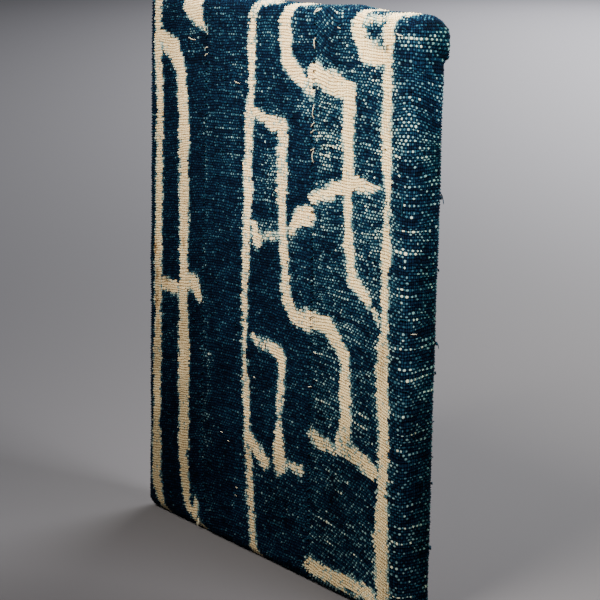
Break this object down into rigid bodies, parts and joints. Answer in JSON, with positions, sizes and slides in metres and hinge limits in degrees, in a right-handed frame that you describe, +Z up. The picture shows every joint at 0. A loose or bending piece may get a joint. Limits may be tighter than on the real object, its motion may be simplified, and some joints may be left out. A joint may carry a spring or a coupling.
{
  "type": "indigo cloth panel on a wooden stretcher",
  "caption": "Hand-woven indigo cotton strips with cream resist lines, sewn edge to edge, stretched over a mitred wooden stretcher and turned onto its back.",
  "frame": {"origin": "under the middle of the panel, on the surface that it stands on", "axes": "+X to the viewer's right along the front, +Y from the front to the back, +Z up"},
  "size_m": [0.25, 0.025, 0.3046],
  "materials": {
    "indigo_cotton": "matt hand-spun cotton in a coarse plain weave, dyed indigo, with undyed cream resist lines",
    "stretcher_pine": "bare planed pine",
    "seam_thread": "hand-spun sewing thread, pale and a little blue"
  },
  "bodies": {
    "root": {"strip_left": "indigo_cotton", "strip_middle": "indigo_cotton", "strip_right": "indigo_cotton", "bar_top": "stretcher_pine", "bar_bottom": "stretcher_pine", "bar_left": "stretcher_pine", "bar_right": "stretcher_pine"}
  },
  "joints": []
}
